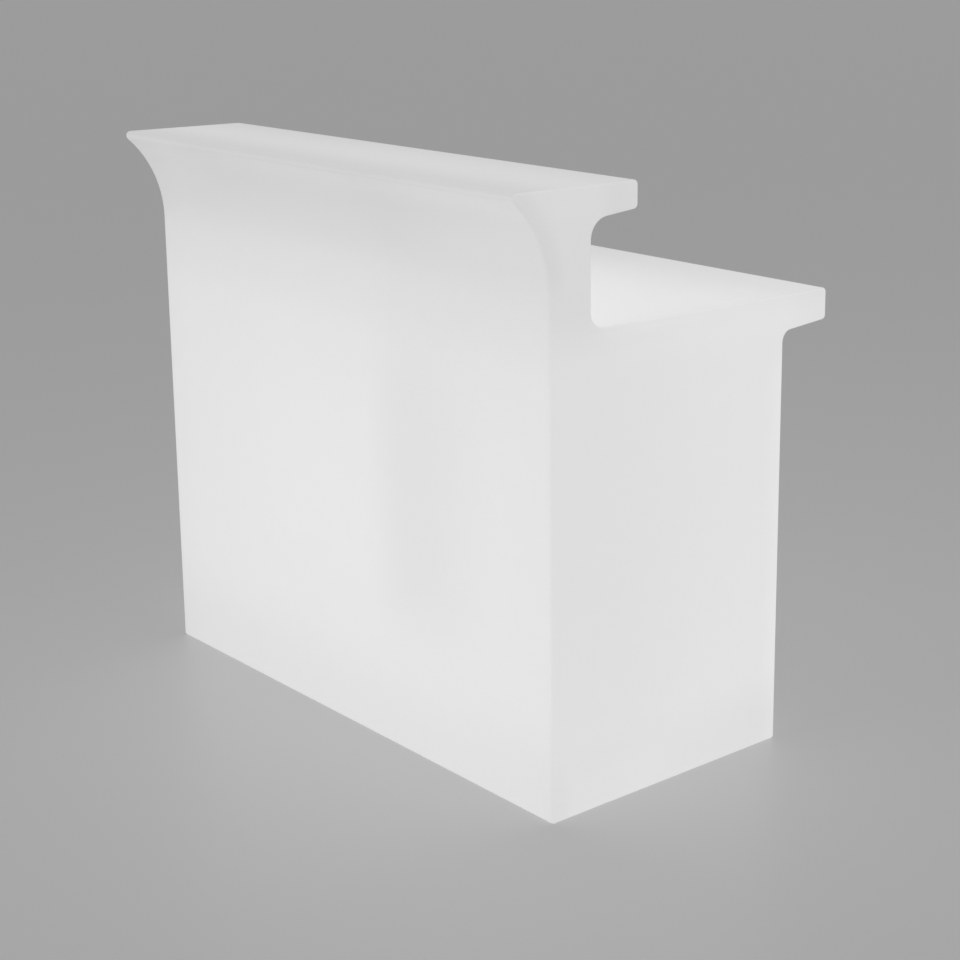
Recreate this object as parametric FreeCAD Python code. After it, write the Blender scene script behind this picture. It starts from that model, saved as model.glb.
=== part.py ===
import FreeCAD
import Part
import math
import os

# Illuminated bar counter, in millimetres. X runs along the bar, -Y is the guests' side,
# +Y is the staff side and +Z is up. The origin is on the floor, in the middle of the bar's box.

# Overall form of the moulded body
BAR_LENGTH = 1237.5
COUNTER_HEIGHT = 860.0
BAR_TOP_RISE = 240.0
BASE_DEPTH = 555.0
BAR_TOP_DEPTH = 270.0
UPSTAND_THICKNESS = 89.0
COUNTER_OVERHANG = 114.0
WALL = 6.0

# Flared front and the nose of the bar top, whose angle is measured where flare and nose meet
FLARE_RADIUS = 220.0
FLARE_ANGLE = 48.5
NOSE_RADIUS = 9.0

# Back lips of the bar top and of the counter, and the rounds that lead into them
BAR_LIP_HEIGHT = 48.0
BAR_UNDERSIDE_SLOPE = 5.7
BAR_UNDERSIDE_ROUND = 38.0
COUNTER_FOOT_ROUND = 29.0
COUNTER_LIP_HEIGHT = 59.0
COUNTER_UNDERSIDE_SLOPE = 4.8
COUNTER_UNDERSIDE_ROUND = 22.0
LIP_RADIUS = 8.0
BASE_EDGE_RADIUS = 5.0
END_EDGE_RADIUS = 4.5

# Storage niche on the staff side, with a ledge along each end for the shelf
PLINTH_HEIGHT = 90.0
COUNTER_THICKNESS = 110.0
ROOM_OVER_LEDGE = 208.0
NICHE_END_THICKNESS = 98.0
LIGHT_CHAMBER_DEPTH = 155.0
LEDGE_DEPTH = 28.0
NICHE_CORNER_RADIUS = 22.0
LEDGE_LIP_RADIUS = 7.5
LEDGE_ROOT_RADIUS = 4.0
NICHE_BACK_RADIUS = 3.5
NICHE_MOUTH_RADIUS = 6.0

# Shelf board
SHELF_THICKNESS = 16.0
SHELF_SIDE_CLEARANCE = 2.0
SHELF_BACK_CLEARANCE = 2.0
SHELF_SETBACK = 12.0
SHELF_CORNER_RADIUS = 14.0
SHELF_EDGE_RADIUS = 2.0

# Round service holes in the niche's back wall, each with a sunk seat for its cover
LIGHT_END_MARGIN = 46.0
COVER_GAP_UNDER_LEDGE = 46.0
LAMP_CLEARANCE = 15.0
SEAT_WIDTH = 26.0
GASKET_THICKNESS = 2.0
COVER_THICKNESS = 5.0

# Round cover
COVER_RIM_CLEARANCE = 1.0
COVER_EDGE_RADIUS = 1.5
COVER_DOME_MARGIN = 18.0
COVER_DOME_HEIGHT = 3.5
SPIGOT_CLEARANCE = 0.8
SPIGOT_WALL = 2.5
SPIGOT_DEPTH = 12.0
RIB_COUNT = 6
RIB_THICKNESS = 2.0
RIB_HEIGHT = 4.0
RIB_ROOT_OVERLAP = 0.5
RIB_INNER_RADIUS = 30.0
BRACKET_BOSS_RADIUS = 4.5
BRACKET_BOSS_HEIGHT = 6.0
GASKET_SIDE_CLEARANCE = 2.0

# Cover screws, and the inserts and bosses that take them
COVER_SCREW_COUNT = 4
COVER_SCREW_FIRST_ANGLE = 45.0
COVER_SCREW_RADIUS = 2.5
COVER_SCREW_TIP = 0.6
COVER_SCREW_HEAD_RADIUS = 4.6
COVER_SCREW_HEAD_HEIGHT = 2.6
SCREW_HOLE_CLEARANCE = 0.3
SCREW_HEAD_CLEARANCE = 0.5
THREAD_CLEARANCE = 0.05
COVER_INSERT_RADIUS = 4.0
COVER_INSERT_LENGTH = 12.0
INSERT_HOLE_EXTRA_DEPTH = 4.0
COVER_BOSS_WALL = 4.5
SCREW_SLOT_RADIUS = 1.6
SCREW_SLOT_DEPTH = 1.4

# Bent steel bracket behind each cover
BRACKET_THICKNESS = 2.0
BRACKET_WIDTH = 30.0
BRACKET_BEND_RADIUS = 3.0
BRACKET_LEG_HEIGHT = 46.0
BRACKET_REACH_PAST_LAMP = 17.0
BRACKET_CORNER_RADIUS = 5.0
BRACKET_SCREW_INSET = 10.0
BRACKET_SCREW_RADIUS = 2.0
BRACKET_SCREW_LENGTH = 7.0
BRACKET_SCREW_HOLE_SPARE = 2.0
BRACKET_SCREW_HEAD_RADIUS = 3.6
BRACKET_SCREW_HEAD_HEIGHT = 2.2

# Lamp holder and its nut
LAMP_AXIS_DEPTH = 58.0
HOLDER_BASE_STEP = 2.5
HOLDER_BASE_HEIGHT = 6.0
HOLDER_WALL = 3.9
HOLDER_HEIGHT = 46.0
HOLDER_EDGE_RADIUS = 1.5
HOLDER_BORE_CLEARANCE = 0.4
NIPPLE_RADIUS = 5.0
NIPPLE_LENGTH = 9.0
NIPPLE_BORE_RADIUS = 3.2
HOLDER_NUT_FLATS = 14.0
HOLDER_NUT_HEIGHT = 4.0

# Bulb with its screw cap, housing and opal globe
BULB_CAP_RADIUS = 13.2
BULB_CAP_HEIGHT = 24.0
BULB_CAP_TAPER = 5.0
BULB_TIP_RADIUS = 5.0
BULB_NECK_STEP = 1.3
BULB_NECK_HEIGHT = 3.0
BULB_SHOULDER_ROUND = 12.0
BULB_NECK_CLEARANCE = 1.0
BULB_LENGTH = 108.0
GLOBE_RADIUS = 30.0
GLOBE_RIM_ANGLE = 32.0
GLOBE_WALL = 1.5

# Levelling feet, their pockets and inserts
FOOT_INSET = 62.0
FOOT_POCKET_CLEARANCE = 6.0
FOOT_POCKET_HEADROOM = 3.5
FOOT_PAD_RADIUS = 19.0
FOOT_PAD_HEIGHT = 8.0
FOOT_PAD_EDGE_RADIUS = 1.5
FOOT_SETBACK = 0.5
FOOT_SOCKET_DEPTH = 4.0
STUD_RADIUS = 5.0
STUD_LENGTH = 42.0
STUD_CHAMFER = 1.0
FOOT_INSERT_RADIUS = 8.0
FOOT_INSERT_LENGTH = 18.0
FOOT_BOSS_WALL = 6.0
STUD_END_CLEARANCE = 4.0

# Inlet gland for the mains lead, low on the staff side
GLAND_END_INSET = 220.0
GLAND_STEM_RADIUS = 8.0
GLAND_STEM_CLEARANCE = 0.2
GLAND_THREAD_LENGTH = 10.0
GLAND_GRIP_STAND = 0.1
GLAND_FLANGE_THICKNESS = 5.0
GLAND_NECK_RADIUS = 9.0
GLAND_NECK_LENGTH = 8.0
GLAND_BORE_RADIUS = 5.8
GLAND_CAP_LENGTH = 18.0
GLAND_CAP_MOUTH_RADIUS = 5.0
GLAND_CAP_WALL = 1.9
GLAND_CAP_TAPER_RADIUS = 6.5
GLAND_LOCKNUT_THICKNESS = 5.0
GLAND_SEAL_LENGTH = 9.0
LEAD_BORE_RADIUS = 3.6

# Overrun of every cut past the face that it opens, and the shortest line worth drawing
CUT_OVERRUN = 1.0
SHORTEST_LINE = 0.001

# Places worked out from the sizes above
BAR_TOP_HEIGHT = COUNTER_HEIGHT + BAR_TOP_RISE
FLARE_TURN = math.radians(FLARE_ANGLE)
FRONT_OVERHANG = (FLARE_RADIUS + NOSE_RADIUS) * (1 - math.cos(FLARE_TURN))
TOTAL_DEPTH = FRONT_OVERHANG + BASE_DEPTH + COUNTER_OVERHANG
FRONT_Y = FRONT_OVERHANG - TOTAL_DEPTH / 2
BACK_Y = FRONT_Y + BASE_DEPTH
NICHE_BACK_Y = FRONT_Y + LIGHT_CHAMBER_DEPTH
NICHE_HALF_WIDTH = BAR_LENGTH / 2 - NICHE_END_THICKNESS
NICHE_TOP_HEIGHT = COUNTER_HEIGHT - COUNTER_THICKNESS
LEDGE_HEIGHT = NICHE_TOP_HEIGHT - ROOM_OVER_LEDGE
LAMP_HEIGHT = HOLDER_HEIGHT - BULB_CAP_HEIGHT + BULB_LENGTH
BRACKET_DROP = LAMP_HEIGHT / 2
SERVICE_HOLE_RADIUS = LAMP_HEIGHT / 2 + LAMP_CLEARANCE
SEAT_RADIUS = SERVICE_HOLE_RADIUS + SEAT_WIDTH
COVER_SCREW_CIRCLE_RADIUS = (SERVICE_HOLE_RADIUS + SEAT_RADIUS) / 2
LIGHT_HEIGHT = LEDGE_HEIGHT - COVER_GAP_UNDER_LEDGE - SEAT_RADIUS
LIGHT_SPACING = NICHE_HALF_WIDTH - LEDGE_DEPTH - LIGHT_END_MARGIN - SEAT_RADIUS
SEAT_DEPTH = GASKET_THICKNESS + COVER_THICKNESS
COVER_SCREW_LENGTH = SEAT_DEPTH - COVER_SCREW_HEAD_HEIGHT + COVER_INSERT_LENGTH + COVER_SCREW_TIP
COVER_BACK = -COVER_THICKNESS
BRACKET_FACE = COVER_BACK - BRACKET_BOSS_HEIGHT
HOLDER_BORE_RADIUS = BULB_CAP_RADIUS + HOLDER_BORE_CLEARANCE
HOLDER_RADIUS = HOLDER_BORE_RADIUS + HOLDER_WALL
BULB_TIP_Z = HOLDER_HEIGHT - BULB_CAP_HEIGHT - BRACKET_DROP
GLOBE_CENTRE_Z = BULB_TIP_Z + BULB_LENGTH - GLOBE_RADIUS
GLOBE_RIM_DROP = GLOBE_RADIUS * math.sin(math.radians(GLOBE_RIM_ANGLE))
GLOBE_RIM_RADIUS = GLOBE_RADIUS * math.cos(math.radians(GLOBE_RIM_ANGLE))
FOOT_POCKET_RADIUS = FOOT_PAD_RADIUS + FOOT_POCKET_CLEARANCE
FOOT_POCKET_DEPTH = FOOT_SETBACK + FOOT_PAD_HEIGHT + FOOT_POCKET_HEADROOM
STUD_START_Z = FOOT_SETBACK + FOOT_PAD_HEIGHT - FOOT_SOCKET_DEPTH
STUD_TOP_Z = STUD_START_Z + STUD_LENGTH
STUD_HOLE_TOP_Z = STUD_TOP_Z + STUD_END_CLEARANCE
GLAND_SOCKET_RADIUS = GLAND_NECK_RADIUS + THREAD_CLEARANCE
GLAND_FLATS = 2 * (GLAND_SOCKET_RADIUS + GLAND_CAP_WALL + GLAND_GRIP_STAND)
GLAND_PLACE = FreeCAD.Vector(BAR_LENGTH / 2 - GLAND_END_INSET, BACK_Y, PLINTH_HEIGHT / 2)
LIGHT_SIDES = {"left": -1, "centre": 0, "right": 1}
FOOT_CORNERS = {
    "front_left": (-1, -1),
    "front_right": (1, -1),
    "back_left": (-1, 1),
    "back_right": (1, 1),
}


def at(x=0.0, y=0.0, z=0.0):
    return FreeCAD.Vector(x, y, z)


def side_view(y, z):
    """A point of an outline drawn in the bar's side view, y from the front face."""
    return at(0.0, FRONT_Y + y, z)


def rounded_wire(corners, place):
    """Closed wire through (u, v, radius) corners, each rounded by an arc tangent to its two lines."""
    arcs = []
    for i, (u, v, radius) in enumerate(corners):
        corner = at(u, v)
        before = (at(*corners[i - 1][:2]) - corner).normalize()
        after = (at(*corners[(i + 1) % len(corners)][:2]) - corner).normalize()
        if radius == 0:
            arcs.append((corner, corner, corner))
            continue
        half = before.getAngle(after) / 2
        middle = (before + after).normalize()
        centre = corner + middle * (radius / math.sin(half))
        reach = radius / math.tan(half)
        arcs.append((corner + before * reach, centre - middle * radius, corner + after * reach))
    edges = []
    for i, (start, middle, end) in enumerate(arcs):
        following = arcs[(i + 1) % len(arcs)][0]
        start, middle, end, following = [place(p.x, p.y) for p in (start, middle, end, following)]
        if start.distanceToPoint(end) > SHORTEST_LINE:
            edges.append(Part.Arc(start, middle, end).toShape())
        if end.distanceToPoint(following) > SHORTEST_LINE:
            edges.append(Part.LineSegment(end, following).toShape())
    return Part.Wire(Part.__sortEdges__(edges))


def prism(corners, place, start, push):
    """Solid made by pushing a rounded outline, moved to start, along push."""
    face = Part.Face(rounded_wire(corners, place))
    face.translate(start)
    return face.extrude(push)


def turned(corners):
    """Solid turned about Z from a (radius, height, corner radius) outline."""
    face = Part.Face(rounded_wire(corners, lambda r, z: at(r, 0.0, z)))
    return face.revolve(at(), at(0, 0, 1), 360)


def rod(radius, start, length, along):
    return Part.makeCylinder(radius, length, start, along)


def hexagon(flats, start, length, along):
    """Hexagonal prism with the given size across its flats, pushed along Y or Z."""
    radius = flats / 2 / math.cos(math.radians(30))
    corners = [
        (radius * math.cos(math.radians(60 * i)), radius * math.sin(math.radians(60 * i)), 0.0)
        for i in range(6)
    ]
    upright = along.z != 0
    place = (lambda u, v: at(u, v, 0.0)) if upright else (lambda u, v: at(u, 0.0, v))
    return prism(corners, place, start, along * length)


def facing_back(solid):
    """Turns a solid made along Z so that its axis runs along +Y."""
    return solid.rotate(at(), at(1, 0, 0), -90)


def ring_of(count, radius, first_angle):
    """Points on a circle in the XZ plane."""
    angles = [math.radians(first_angle + 360 * i / count) for i in range(count)]
    return [(radius * math.cos(a), radius * math.sin(a)) for a in angles]


def edges_where(solid, test):
    return [edge for edge in solid.Edges if test(edge.BoundBox)]


def body_corners():
    """Side outline of the body: y from the front face, z from the floor, and corner radius."""
    flare_start = BAR_TOP_HEIGHT - NOSE_RADIUS - (FLARE_RADIUS + NOSE_RADIUS) * math.sin(FLARE_TURN)
    flare_reach = FLARE_RADIUS * math.tan(FLARE_TURN / 2)
    nose_reach = NOSE_RADIUS * math.tan((math.radians(90) + FLARE_TURN) / 2)
    bar_lip_y = BAR_TOP_DEPTH - FRONT_OVERHANG
    bar_lip_z = BAR_TOP_HEIGHT - BAR_LIP_HEIGHT
    bar_drop = (bar_lip_y - UPSTAND_THICKNESS) * math.tan(math.radians(BAR_UNDERSIDE_SLOPE))
    counter_lip_y = BASE_DEPTH + COUNTER_OVERHANG
    counter_lip_z = COUNTER_HEIGHT - COUNTER_LIP_HEIGHT
    counter_drop = COUNTER_OVERHANG * math.tan(math.radians(COUNTER_UNDERSIDE_SLOPE))
    return [
        (0.0, 0.0, BASE_EDGE_RADIUS),
        (0.0, flare_start + flare_reach, FLARE_RADIUS),
        (-(flare_reach + nose_reach) * math.sin(FLARE_TURN), BAR_TOP_HEIGHT, NOSE_RADIUS),
        (bar_lip_y, BAR_TOP_HEIGHT, LIP_RADIUS),
        (bar_lip_y, bar_lip_z, LIP_RADIUS),
        (UPSTAND_THICKNESS, bar_lip_z - bar_drop, BAR_UNDERSIDE_ROUND),
        (UPSTAND_THICKNESS, COUNTER_HEIGHT, COUNTER_FOOT_ROUND),
        (counter_lip_y, COUNTER_HEIGHT, LIP_RADIUS),
        (counter_lip_y, counter_lip_z, LIP_RADIUS),
        (BASE_DEPTH, counter_lip_z - counter_drop, COUNTER_UNDERSIDE_ROUND),
        (BASE_DEPTH, 0.0, BASE_EDGE_RADIUS),
    ]


def body_outside():
    """The closed outer form, with every edge of its two ends rounded."""
    outline = body_corners()
    solid = prism(outline, side_view, at(-BAR_LENGTH / 2), at(BAR_LENGTH))
    end = BAR_LENGTH / 2 - SHORTEST_LINE
    rims = edges_where(solid, lambda box: box.XMin > end or box.XMax < -end)
    radius = min(END_EDGE_RADIUS, BASE_EDGE_RADIUS, LIP_RADIUS, NOSE_RADIUS)
    return solid.makeFillet(radius, rims)


def niche_corners(grow):
    """Outline of the storage niche seen from behind, grown outwards by a wall where asked."""
    wide = NICHE_HALF_WIDTH + grow
    narrow = wide - LEDGE_DEPTH
    low = PLINTH_HEIGHT - grow
    ledge = LEDGE_HEIGHT - grow
    high = NICHE_TOP_HEIGHT + grow
    corner = NICHE_CORNER_RADIUS + grow
    root = LEDGE_ROOT_RADIUS + grow
    lip = max(LEDGE_LIP_RADIUS - grow, 0.0)
    return [
        (-narrow, low, corner),
        (narrow, low, corner),
        (narrow, ledge, lip),
        (wide, ledge, root),
        (wide, high, corner),
        (-wide, high, corner),
        (-wide, ledge, root),
        (-narrow, ledge, lip),
    ]


def niche_space(grow):
    """The niche as a solid, open through the back wall, its inner rim rounded."""
    start = NICHE_BACK_Y - grow
    depth = BACK_Y + CUT_OVERRUN - start
    solid = prism(niche_corners(grow), lambda x, z: at(x, 0.0, z), at(0.0, start), at(0.0, depth))
    rim = edges_where(solid, lambda box: box.YMax < start + SHORTEST_LINE)
    return solid.makeFillet(min(NICHE_BACK_RADIUS + grow, LEDGE_ROOT_RADIUS + grow), rim)


def light_places():
    return {
        side: at(sign * LIGHT_SPACING, NICHE_BACK_Y, LIGHT_HEIGHT)
        for side, sign in LIGHT_SIDES.items()
    }


def cover_screw_places():
    return ring_of(COVER_SCREW_COUNT, COVER_SCREW_CIRCLE_RADIUS, COVER_SCREW_FIRST_ANGLE)


def foot_places():
    x = BAR_LENGTH / 2 - FOOT_INSET
    y = BASE_DEPTH / 2 - FOOT_INSET
    middle = FRONT_Y + BASE_DEPTH / 2
    return {corner: at(sx * x, middle + sy * y) for corner, (sx, sy) in FOOT_CORNERS.items()}


def seat_solids():
    """What stands into the light chamber round each service hole: the seat's back and the bosses."""
    inner = -SEAT_DEPTH - WALL
    solids = []
    for place in light_places().values():
        seat = rod(SEAT_RADIUS + WALL, at(0, inner), -inner, at(0, 1))
        seat.translate(place)
        solids.append(seat)
        length = COVER_INSERT_LENGTH + INSERT_HOLE_EXTRA_DEPTH + COVER_BOSS_WALL
        for x, z in cover_screw_places():
            radius = COVER_INSERT_RADIUS + COVER_BOSS_WALL
            boss = rod(radius, at(x, -SEAT_DEPTH - length, z), length, at(0, 1))
            boss.translate(place)
            solids.append(boss)
    return solids


def seat_cuts():
    """The sunk seat, the service hole and the insert holes of each light unit."""
    cuts = []
    for place in light_places().values():
        seat = rod(SEAT_RADIUS, at(0, -SEAT_DEPTH), SEAT_DEPTH + CUT_OVERRUN, at(0, 1))
        depth = SEAT_DEPTH + WALL + CUT_OVERRUN
        hole = rod(SERVICE_HOLE_RADIUS, at(0, -depth), depth, at(0, 1))
        length = COVER_INSERT_LENGTH + INSERT_HOLE_EXTRA_DEPTH
        holes = [
            rod(COVER_INSERT_RADIUS, at(x, -SEAT_DEPTH - length, z), length, at(0, 1))
            for x, z in cover_screw_places()
        ]
        for cut in [seat, hole] + holes:
            cut.translate(place)
            cuts.append(cut)
    return cuts


def foot_solids():
    """The pocket walls and insert bosses that stand up inside the base."""
    solids = []
    for place in foot_places().values():
        top = STUD_HOLE_TOP_Z + WALL
        pocket = rod(FOOT_POCKET_RADIUS + WALL, place, FOOT_POCKET_DEPTH + WALL, at(0, 0, 1))
        boss = rod(FOOT_INSERT_RADIUS + FOOT_BOSS_WALL, place, top, at(0, 0, 1))
        solids += [pocket, boss]
    return solids


def foot_cuts():
    cuts = []
    for place in foot_places().values():
        below = place - at(0, 0, CUT_OVERRUN)
        pocket = rod(FOOT_POCKET_RADIUS, below, FOOT_POCKET_DEPTH + CUT_OVERRUN, at(0, 0, 1))
        insert = rod(FOOT_INSERT_RADIUS, place, FOOT_POCKET_DEPTH + FOOT_INSERT_LENGTH, at(0, 0, 1))
        radius = STUD_RADIUS + THREAD_CLEARANCE
        stud = rod(radius, place, STUD_HOLE_TOP_Z, at(0, 0, 1))
        cuts += [pocket, insert, stud]
    return cuts


def bar_body():
    """One hollow moulding: the outer form, less the niche, less the light chamber inside its wall."""
    outside = body_outside().cut(niche_space(0.0))
    low = PLINTH_HEIGHT - SHORTEST_LINE
    high = NICHE_TOP_HEIGHT + SHORTEST_LINE
    mouth = edges_where(
        outside,
        lambda box: box.YMin > BACK_Y - SHORTEST_LINE and box.YMax < BACK_Y + SHORTEST_LINE
        and box.ZMin > low and box.ZMax < high
        and abs(box.Center.x) < NICHE_HALF_WIDTH + SHORTEST_LINE,
    )
    outside = outside.makeFillet(min(NICHE_MOUTH_RADIUS, LEDGE_LIP_RADIUS), mouth)
    inner_face = Part.Face(rounded_wire(body_corners(), side_view)).makeOffset2D(-WALL)
    inner_face.translate(at(WALL - BAR_LENGTH / 2))
    chamber = inner_face.extrude(at(BAR_LENGTH - 2 * WALL))
    chamber = chamber.cut([niche_space(WALL)] + seat_solids() + foot_solids())
    gland_hole = rod(
        GLAND_STEM_RADIUS + GLAND_STEM_CLEARANCE,
        GLAND_PLACE - at(0, WALL + CUT_OVERRUN),
        WALL + CUT_OVERRUN * 2,
        at(0, 1),
    )
    return outside.cut([chamber, gland_hole] + seat_cuts() + foot_cuts())


def storage_shelf():
    """Loose board on the two ledges, drawn out towards the staff."""
    half = NICHE_HALF_WIDTH - LEDGE_ROOT_RADIUS - SHELF_SIDE_CLEARANCE
    front = NICHE_BACK_Y + NICHE_BACK_RADIUS + SHELF_BACK_CLEARANCE
    back = BACK_Y - SHELF_SETBACK
    ends = [(-half, front), (half, front), (half, back), (-half, back)]
    corners = [(x, y, SHELF_CORNER_RADIUS) for x, y in ends]
    board = prism(corners, lambda x, y: at(x, y), at(0, 0, LEDGE_HEIGHT), at(0, 0, SHELF_THICKNESS))
    flat = SHELF_THICKNESS / 2
    rims = edges_where(board, lambda box: box.ZLength < flat)
    return board.makeFillet(SHELF_EDGE_RADIUS, rims)


def light_cover():
    """Round cover: a domed plate with a rim, a spigot that enters the hole, and ribs behind."""
    radius = SEAT_RADIUS - COVER_RIM_CLEARANCE
    plate = facing_back(turned([
        (0.0, COVER_BACK, 0.0),
        (radius, COVER_BACK, 0.0),
        (radius, 0.0, COVER_EDGE_RADIUS),
        (0.0, 0.0, 0.0),
    ]))
    dome_radius = SERVICE_HOLE_RADIUS - COVER_DOME_MARGIN
    sphere_radius = (dome_radius ** 2 + COVER_DOME_HEIGHT ** 2) / (2 * COVER_DOME_HEIGHT)
    sphere = Part.makeSphere(sphere_radius, at(0, COVER_DOME_HEIGHT - sphere_radius))
    slice_start = at(0, COVER_BACK / 2)
    dome = sphere.common(rod(dome_radius, slice_start, COVER_THICKNESS + COVER_DOME_HEIGHT, at(0, 1)))
    spigot_radius = SERVICE_HOLE_RADIUS - SPIGOT_CLEARANCE
    spigot_start = at(0, COVER_BACK - SPIGOT_DEPTH)
    spigot = rod(spigot_radius, spigot_start, SPIGOT_DEPTH, at(0, 1))
    spigot = spigot.cut(rod(spigot_radius - SPIGOT_WALL, spigot_start, SPIGOT_DEPTH, at(0, 1)))
    ribs = []
    rib_reach = spigot_radius - SPIGOT_WALL + RIB_ROOT_OVERLAP
    for i in range(RIB_COUNT):
        rib = Part.makeBox(
            rib_reach - RIB_INNER_RADIUS, RIB_HEIGHT, RIB_THICKNESS,
            at(RIB_INNER_RADIUS, COVER_BACK - RIB_HEIGHT, -RIB_THICKNESS / 2))
        ribs.append(rib.rotate(at(), at(0, 1), 360 * (i + 0.5) / RIB_COUNT))
    bosses = [
        rod(BRACKET_BOSS_RADIUS, at(0, BRACKET_FACE, z), BRACKET_BOSS_HEIGHT, at(0, 1))
        for z in bracket_screw_heights()
    ]
    cover = plate.fuse([dome, spigot] + ribs + bosses)
    cuts = []
    hole = COVER_SCREW_RADIUS + SCREW_HOLE_CLEARANCE
    head = COVER_SCREW_HEAD_RADIUS + SCREW_HEAD_CLEARANCE
    for x, z in cover_screw_places():
        cuts.append(rod(hole, at(x, COVER_BACK - CUT_OVERRUN, z), COVER_THICKNESS, at(0, 1)))
        cuts.append(rod(head, at(x, -COVER_SCREW_HEAD_HEIGHT, z), COVER_THICKNESS, at(0, 1)))
    for z in bracket_screw_heights():
        depth = BRACKET_SCREW_LENGTH - BRACKET_THICKNESS + BRACKET_SCREW_HOLE_SPARE
        cuts.append(rod(BRACKET_SCREW_RADIUS, at(0, BRACKET_FACE, z), depth, at(0, 1)))
    return cover.cut(cuts).removeSplitter()


def cover_gasket():
    outer = SEAT_RADIUS - GASKET_SIDE_CLEARANCE
    inner = SERVICE_HOLE_RADIUS + GASKET_SIDE_CLEARANCE
    ring = rod(outer, at(0, -SEAT_DEPTH), GASKET_THICKNESS, at(0, 1))
    cuts = [rod(inner, at(0, -SEAT_DEPTH), GASKET_THICKNESS, at(0, 1))]
    for x, z in cover_screw_places():
        radius = COVER_SCREW_RADIUS + SCREW_HOLE_CLEARANCE
        cuts.append(rod(radius, at(x, -SEAT_DEPTH, z), GASKET_THICKNESS, at(0, 1)))
    return ring.cut(cuts)


def cap_screw(radius, length, head_radius, head_height):
    """Pan-head screw along +Y, its head's underside at y = 0 and a hexagon socket in its head."""
    shank = rod(radius, at(0, -length), length, at(0, 1))
    head = facing_back(turned([
        (0.0, 0.0, 0.0),
        (head_radius, 0.0, 0.0),
        (head_radius, head_height, head_height / 2),
        (0.0, head_height, 0.0),
    ]))
    depth = min(SCREW_SLOT_DEPTH, head_height / 2)
    socket = hexagon(2 * SCREW_SLOT_RADIUS, at(0, head_height - depth), depth, at(0, 1))
    return shank.fuse(head).cut(socket)


def cover_screws():
    """Four screws through the cover and gasket into the moulded-in inserts."""
    screws = []
    for x, z in cover_screw_places():
        screw = cap_screw(
            COVER_SCREW_RADIUS, COVER_SCREW_LENGTH, COVER_SCREW_HEAD_RADIUS, COVER_SCREW_HEAD_HEIGHT)
        screw.translate(at(x, -COVER_SCREW_HEAD_HEIGHT, z))
        screws.append(screw)
    return Part.makeCompound(screws)


def cover_inserts():
    """Threaded inserts moulded in behind all the cover screws."""
    inserts = []
    for place in light_places().values():
        for x, z in cover_screw_places():
            start = at(x, -SEAT_DEPTH - COVER_INSERT_LENGTH, z)
            insert = rod(COVER_INSERT_RADIUS, start, COVER_INSERT_LENGTH, at(0, 1))
            bore = COVER_SCREW_RADIUS + THREAD_CLEARANCE
            insert = insert.cut(rod(bore, start, COVER_INSERT_LENGTH, at(0, 1)))
            insert.translate(place)
            inserts.append(insert)
    return Part.makeCompound(inserts)


def bracket_screw_heights():
    low = BRACKET_SCREW_INSET + BRACKET_BEND_RADIUS - BRACKET_DROP
    high = BRACKET_LEG_HEIGHT - BRACKET_SCREW_INSET - BRACKET_DROP
    return [low, high]


def lamp_bracket():
    """Steel strip bent into an L: one leg on the cover's bosses, the other under the lamp holder."""
    top = BRACKET_LEG_HEIGHT - BRACKET_DROP
    outer = BRACKET_FACE
    inner = BRACKET_FACE - BRACKET_THICKNESS
    floor = -BRACKET_DROP
    reach = -LAMP_AXIS_DEPTH - BRACKET_REACH_PAST_LAMP
    corners = [
        (outer, floor - BRACKET_THICKNESS, BRACKET_BEND_RADIUS + BRACKET_THICKNESS),
        (outer, top, 0.0),
        (inner, top, 0.0),
        (inner, floor, BRACKET_BEND_RADIUS),
        (reach, floor, 0.0),
        (reach, floor - BRACKET_THICKNESS, 0.0),
    ]
    strip = prism(corners, lambda y, z: at(0, y, z), at(-BRACKET_WIDTH / 2), at(BRACKET_WIDTH))
    half = BRACKET_WIDTH / 2
    sharp = edges_where(
        strip,
        lambda box: box.XLength < SHORTEST_LINE and abs(box.XMin) > half - SHORTEST_LINE
        and (box.ZMin > top - SHORTEST_LINE or box.YMax < reach + SHORTEST_LINE)
        and max(box.YLength, box.ZLength) < BRACKET_THICKNESS + SHORTEST_LINE,
    )
    strip = strip.makeFillet(BRACKET_CORNER_RADIUS, sharp)
    nipple_place = at(0, -LAMP_AXIS_DEPTH, floor - BRACKET_THICKNESS)
    cuts = [rod(NIPPLE_RADIUS + SCREW_HOLE_CLEARANCE, nipple_place, BRACKET_THICKNESS, at(0, 0, 1))]
    for z in bracket_screw_heights():
        radius = BRACKET_SCREW_RADIUS + SCREW_HOLE_CLEARANCE
        cuts.append(rod(radius, at(0, inner, z), BRACKET_THICKNESS, at(0, 1)))
    return strip.cut(cuts)


def bracket_screws():
    """Two screws that hold the bracket to the cover, driven from the chamber side."""
    screws = []
    for z in bracket_screw_heights():
        screw = cap_screw(
            BRACKET_SCREW_RADIUS - THREAD_CLEARANCE, BRACKET_SCREW_LENGTH,
            BRACKET_SCREW_HEAD_RADIUS, BRACKET_SCREW_HEAD_HEIGHT)
        screw = screw.rotate(at(), at(0, 0, 1), 180)
        screw.translate(at(0, BRACKET_FACE - BRACKET_THICKNESS, z))
        screws.append(screw)
    return Part.makeCompound(screws)


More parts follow.
